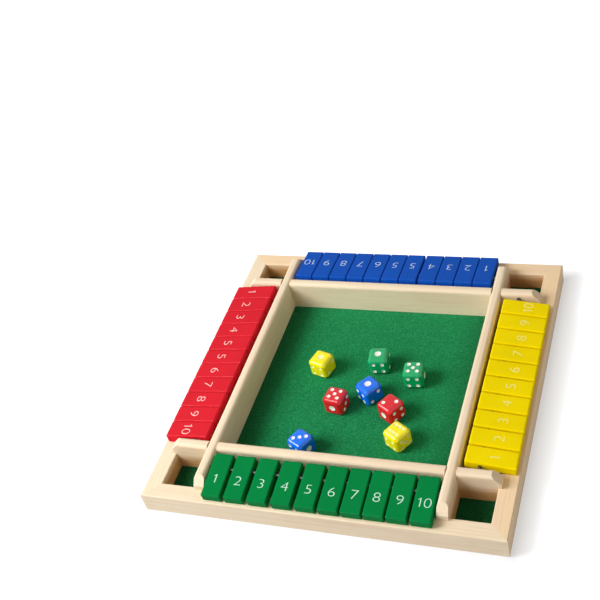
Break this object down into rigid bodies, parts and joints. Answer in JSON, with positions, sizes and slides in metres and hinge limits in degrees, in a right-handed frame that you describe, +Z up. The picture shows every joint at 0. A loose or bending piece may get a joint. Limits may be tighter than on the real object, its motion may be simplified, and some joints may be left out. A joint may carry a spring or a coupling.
{
  "type": "dice and number tile board game",
  "caption": "Square wooden game board with a felt dice tray, a row of hinged number tiles along each side, corner pockets and loose dice.",
  "frame": {"origin": "centre of the board's underside", "axes": "+Z up; +Y towards the row of blue tiles at the far side; +X towards the row of yellow tiles on the right"},
  "size_m": [0.27, 0.27, 0.028],
  "materials": {
    "frame_wood": "pale sanded pine, fine straight grain",
    "base_wood": "raw plywood",
    "felt": "short green felt",
    "steel_rod": "drawn wire",
    "green_tile_paint": "satin green paint on wood, pale numbers",
    "yellow_tile_paint": "satin yellow paint on wood, pale numbers",
    "blue_tile_paint": "satin blue paint on wood, pale numbers",
    "red_tile_paint": "satin red paint on wood, pale numbers",
    "yellow_die": "glossy yellow, white pips",
    "green_die": "glossy green, white pips",
    "blue_die": "glossy blue, white pips",
    "red_die": "glossy red, white pips"
  },
  "bodies": {
    "board": {"base_board": "base_wood", "felt": "felt", "rail_near": "frame_wood", "rail_right": "frame_wood", "rail_far": "frame_wood", "rail_left": "frame_wood", "divider_left": "frame_wood", "divider_right": "frame_wood", "cross_dividers": "frame_wood", "tile_rods": "steel_rod"},
    "green_tile_1": {"green_tile_1": "green_tile_paint"},
    "yellow_tile_1": {"yellow_tile_1": "yellow_tile_paint"},
    "blue_tile_1": {"blue_tile_1": "blue_tile_paint"},
    "red_tile_1": {"red_tile_1": "red_tile_paint"},
    "green_tile_2": {"green_tile_2": "green_tile_paint"},
    "yellow_tile_2": {"yellow_tile_2": "yellow_tile_paint"},
    "blue_tile_2": {"blue_tile_2": "blue_tile_paint"},
    "red_tile_2": {"red_tile_2": "red_tile_paint"},
    "green_tile_3": {"green_tile_3": "green_tile_paint"},
    "yellow_tile_3": {"yellow_tile_3": "yellow_tile_paint"},
    "blue_tile_3": {"blue_tile_3": "blue_tile_paint"},
    "red_tile_3": {"red_tile_3": "red_tile_paint"},
    "green_tile_4": {"green_tile_4": "green_tile_paint"},
    "yellow_tile_4": {"yellow_tile_4": "yellow_tile_paint"},
    "blue_tile_4": {"blue_tile_4": "blue_tile_paint"},
    "red_tile_4": {"red_tile_4": "red_tile_paint"},
    "green_tile_5": {"green_tile_5": "green_tile_paint"},
    "yellow_tile_5": {"yellow_tile_5": "yellow_tile_paint"},
    "blue_tile_5": {"blue_tile_5": "blue_tile_paint"},
    "red_tile_5": {"red_tile_5": "red_tile_paint"},
    "green_tile_6": {"green_tile_6": "green_tile_paint"},
    "yellow_tile_6": {"yellow_tile_6": "yellow_tile_paint"},
    "blue_tile_6": {"blue_tile_6": "blue_tile_paint"},
    "red_tile_6": {"red_tile_6": "red_tile_paint"},
    "green_tile_7": {"green_tile_7": "green_tile_paint"},
    "yellow_tile_7": {"yellow_tile_7": "yellow_tile_paint"},
    "blue_tile_7": {"blue_tile_7": "blue_tile_paint"},
    "red_tile_7": {"red_tile_7": "red_tile_paint"},
    "green_tile_8": {"green_tile_8": "green_tile_paint"},
    "yellow_tile_8": {"yellow_tile_8": "yellow_tile_paint"},
    "blue_tile_8": {"blue_tile_8": "blue_tile_paint"},
    "red_tile_8": {"red_tile_8": "red_tile_paint"},
    "green_tile_9": {"green_tile_9": "green_tile_paint"},
    "yellow_tile_9": {"yellow_tile_9": "yellow_tile_paint"},
    "blue_tile_9": {"blue_tile_9": "blue_tile_paint"},
    "red_tile_9": {"red_tile_9": "red_tile_paint"},
    "green_tile_10": {"green_tile_10": "green_tile_paint"},
    "yellow_tile_10": {"yellow_tile_10": "yellow_tile_paint"},
    "blue_tile_10": {"blue_tile_10": "blue_tile_paint"},
    "red_tile_10": {"red_tile_10": "red_tile_paint"},
    "blue_tile_11": {"blue_tile_11": "blue_tile_paint"},
    "red_tile_11": {"red_tile_11": "red_tile_paint"},
    "yellow_die_1": {"yellow_die_1": "yellow_die"},
    "yellow_die_2": {"yellow_die_2": "yellow_die"},
    "green_die_1": {"green_die_1": "green_die"},
    "green_die_2": {"green_die_2": "green_die"},
    "blue_die_1": {"blue_die_1": "blue_die"},
    "blue_die_2": {"blue_die_2": "blue_die"},
    "red_die_1": {"red_die_1": "red_die"},
    "red_die_2": {"red_die_2": "red_die"}
  },
  "joints": [
    {"name": "green_tile_1_flip", "type": "hinge", "parent": "board", "child": "green_tile_1", "pos_m": [0, -0.108, 0.02316], "axis": [-1, 0, 0], "range_deg": [0, 156]},
    {"name": "yellow_tile_1_flip", "type": "hinge", "parent": "board", "child": "yellow_tile_1", "pos_m": [0.108, 0, 0.02316], "axis": [0, -1, 0], "range_deg": [0, 156]},
    {"name": "blue_tile_1_flip", "type": "hinge", "parent": "board", "child": "blue_tile_1", "pos_m": [0, 0.108, 0.02316], "axis": [1, 0, 0], "range_deg": [0, 156]},
    {"name": "red_tile_1_flip", "type": "hinge", "parent": "board", "child": "red_tile_1", "pos_m": [-0.108, 0, 0.02316], "axis": [0, 1, 0], "range_deg": [0, 156]},
    {"name": "green_tile_2_flip", "type": "hinge", "parent": "board", "child": "green_tile_2", "pos_m": [0, -0.108, 0.02316], "axis": [-1, 0, 0], "range_deg": [0, 156]},
    {"name": "yellow_tile_2_flip", "type": "hinge", "parent": "board", "child": "yellow_tile_2", "pos_m": [0.108, 0, 0.02316], "axis": [0, -1, 0], "range_deg": [0, 156]},
    {"name": "blue_tile_2_flip", "type": "hinge", "parent": "board", "child": "blue_tile_2", "pos_m": [0, 0.108, 0.02316], "axis": [1, 0, 0], "range_deg": [0, 156]},
    {"name": "red_tile_2_flip", "type": "hinge", "parent": "board", "child": "red_tile_2", "pos_m": [-0.108, 0, 0.02316], "axis": [0, 1, 0], "range_deg": [0, 156]},
    {"name": "green_tile_3_flip", "type": "hinge", "parent": "board", "child": "green_tile_3", "pos_m": [0, -0.108, 0.02316], "axis": [-1, 0, 0], "range_deg": [0, 156]},
    {"name": "yellow_tile_3_flip", "type": "hinge", "parent": "board", "child": "yellow_tile_3", "pos_m": [0.108, 0, 0.02316], "axis": [0, -1, 0], "range_deg": [0, 156]},
    {"name": "blue_tile_3_flip", "type": "hinge", "parent": "board", "child": "blue_tile_3", "pos_m": [0, 0.108, 0.02316], "axis": [1, 0, 0], "range_deg": [0, 156]},
    {"name": "red_tile_3_flip", "type": "hinge", "parent": "board", "child": "red_tile_3", "pos_m": [-0.108, 0, 0.02316], "axis": [0, 1, 0], "range_deg": [0, 156]},
    {"name": "green_tile_4_flip", "type": "hinge", "parent": "board", "child": "green_tile_4", "pos_m": [0, -0.108, 0.02316], "axis": [-1, 0, 0], "range_deg": [0, 156]},
    {"name": "yellow_tile_4_flip", "type": "hinge", "parent": "board", "child": "yellow_tile_4", "pos_m": [0.108, 0, 0.02316], "axis": [0, -1, 0], "range_deg": [0, 156]},
    {"name": "blue_tile_4_flip", "type": "hinge", "parent": "board", "child": "blue_tile_4", "pos_m": [0, 0.108, 0.02316], "axis": [1, 0, 0], "range_deg": [0, 156]},
    {"name": "red_tile_4_flip", "type": "hinge", "parent": "board", "child": "red_tile_4", "pos_m": [-0.108, 0, 0.02316], "axis": [0, 1, 0], "range_deg": [0, 156]},
    {"name": "green_tile_5_flip", "type": "hinge", "parent": "board", "child": "green_tile_5", "pos_m": [0, -0.108, 0.02316], "axis": [-1, 0, 0], "range_deg": [0, 156]},
    {"name": "yellow_tile_5_flip", "type": "hinge", "parent": "board", "child": "yellow_tile_5", "pos_m": [0.108, 0, 0.02316], "axis": [0, -1, 0], "range_deg": [0, 156]},
    {"name": "blue_tile_5_flip", "type": "hinge", "parent": "board", "child": "blue_tile_5", "pos_m": [0, 0.108, 0.02316], "axis": [1, 0, 0], "range_deg": [0, 156]},
    {"name": "red_tile_5_flip", "type": "hinge", "parent": "board", "child": "red_tile_5", "pos_m": [-0.108, 0, 0.02316], "axis": [0, 1, 0], "range_deg": [0, 156]},
    {"name": "green_tile_6_flip", "type": "hinge", "parent": "board", "child": "green_tile_6", "pos_m": [0, -0.108, 0.02316], "axis": [-1, 0, 0], "range_deg": [0, 156]},
    {"name": "yellow_tile_6_flip", "type": "hinge", "parent": "board", "child": "yellow_tile_6", "pos_m": [0.108, 0, 0.02316], "axis": [0, -1, 0], "range_deg": [0, 156]},
    {"name": "blue_tile_6_flip", "type": "hinge", "parent": "board", "child": "blue_tile_6", "pos_m": [0, 0.108, 0.02316], "axis": [1, 0, 0], "range_deg": [0, 156]},
    {"name": "red_tile_6_flip", "type": "hinge", "parent": "board", "child": "red_tile_6", "pos_m": [-0.108, 0, 0.02316], "axis": [0, 1, 0], "range_deg": [0, 156]},
    {"name": "green_tile_7_flip", "type": "hinge", "parent": "board", "child": "green_tile_7", "pos_m": [0, -0.108, 0.02316], "axis": [-1, 0, 0], "range_deg": [0, 156]},
    {"name": "yellow_tile_7_flip", "type": "hinge", "parent": "board", "child": "yellow_tile_7", "pos_m": [0.108, 0, 0.02316], "axis": [0, -1, 0], "range_deg": [0, 156]},
    {"name": "blue_tile_7_flip", "type": "hinge", "parent": "board", "child": "blue_tile_7", "pos_m": [0, 0.108, 0.02316], "axis": [1, 0, 0], "range_deg": [0, 156]},
    {"name": "red_tile_7_flip", "type": "hinge", "parent": "board", "child": "red_tile_7", "pos_m": [-0.108, 0, 0.02316], "axis": [0, 1, 0], "range_deg": [0, 156]},
    {"name": "green_tile_8_flip", "type": "hinge", "parent": "board", "child": "green_tile_8", "pos_m": [0, -0.108, 0.02316], "axis": [-1, 0, 0], "range_deg": [0, 156]},
    {"name": "yellow_tile_8_flip", "type": "hinge", "parent": "board", "child": "yellow_tile_8", "pos_m": [0.108, 0, 0.02316], "axis": [0, -1, 0], "range_deg": [0, 156]},
    {"name": "blue_tile_8_flip", "type": "hinge", "parent": "board", "child": "blue_tile_8", "pos_m": [0, 0.108, 0.02316], "axis": [1, 0, 0], "range_deg": [0, 156]},
    {"name": "red_tile_8_flip", "type": "hinge", "parent": "board", "child": "red_tile_8", "pos_m": [-0.108, 0, 0.02316], "axis": [0, 1, 0], "range_deg": [0, 156]},
    {"name": "green_tile_9_flip", "type": "hinge", "parent": "board", "child": "green_tile_9", "pos_m": [0, -0.108, 0.02316], "axis": [-1, 0, 0], "range_deg": [0, 156]},
    {"name": "yellow_tile_9_flip", "type": "hinge", "parent": "board", "child": "yellow_tile_9", "pos_m": [0.108, 0, 0.02316], "axis": [0, -1, 0], "range_deg": [0, 156]},
    {"name": "blue_tile_9_flip", "type": "hinge", "parent": "board", "child": "blue_tile_9", "pos_m": [0, 0.108, 0.02316], "axis": [1, 0, 0], "range_deg": [0, 156]},
    {"name": "red_tile_9_flip", "type": "hinge", "parent": "board", "child": "red_tile_9", "pos_m": [-0.108, 0, 0.02316], "axis": [0, 1, 0], "range_deg": [0, 156]},
    {"name": "green_tile_10_flip", "type": "hinge", "parent": "board", "child": "green_tile_10", "pos_m": [0, -0.108, 0.02316], "axis": [-1, 0, 0], "range_deg": [0, 156]},
    {"name": "yellow_tile_10_flip", "type": "hinge", "parent": "board", "child": "yellow_tile_10", "pos_m": [0.108, 0, 0.02316], "axis": [0, -1, 0], "range_deg": [0, 156]},
    {"name": "blue_tile_10_flip", "type": "hinge", "parent": "board", "child": "blue_tile_10", "pos_m": [0, 0.108, 0.02316], "axis": [1, 0, 0], "range_deg": [0, 156]},
    {"name": "red_tile_10_flip", "type": "hinge", "parent": "board", "child": "red_tile_10", "pos_m": [-0.108, 0, 0.02316], "axis": [0, 1, 0], "range_deg": [0, 156]},
    {"name": "blue_tile_11_flip", "type": "hinge", "parent": "board", "child": "blue_tile_11", "pos_m": [0, 0.108, 0.02316], "axis": [1, 0, 0], "range_deg": [0, 156]},
    {"name": "red_tile_11_flip", "type": "hinge", "parent": "board", "child": "red_tile_11", "pos_m": [-0.108, 0, 0.02316], "axis": [0, 1, 0], "range_deg": [0, 156]},
    {"name": "yellow_die_1_lift", "type": "slide", "parent": "board", "child": "yellow_die_1", "axis": [0, 0, 1], "range_m": [0, 0.06]},
    {"name": "yellow_die_2_lift", "type": "slide", "parent": "board", "child": "yellow_die_2", "axis": [0, 0, 1], "range_m": [0, 0.06]},
    {"name": "green_die_1_lift", "type": "slide", "parent": "board", "child": "green_die_1", "axis": [0, 0, 1], "range_m": [0, 0.06]},
    {"name": "green_die_2_lift", "type": "slide", "parent": "board", "child": "green_die_2", "axis": [0, 0, 1], "range_m": [0, 0.06]},
    {"name": "blue_die_1_lift", "type": "slide", "parent": "board", "child": "blue_die_1", "axis": [0, 0, 1], "range_m": [0, 0.06]},
    {"name": "blue_die_2_lift", "type": "slide", "parent": "board", "child": "blue_die_2", "axis": [0, 0, 1], "range_m": [0, 0.06]},
    {"name": "red_die_1_lift", "type": "slide", "parent": "board", "child": "red_die_1", "axis": [0, 0, 1], "range_m": [0, 0.06]},
    {"name": "red_die_2_lift", "type": "slide", "parent": "board", "child": "red_die_2", "axis": [0, 0, 1], "range_m": [0, 0.06]}
  ]
}
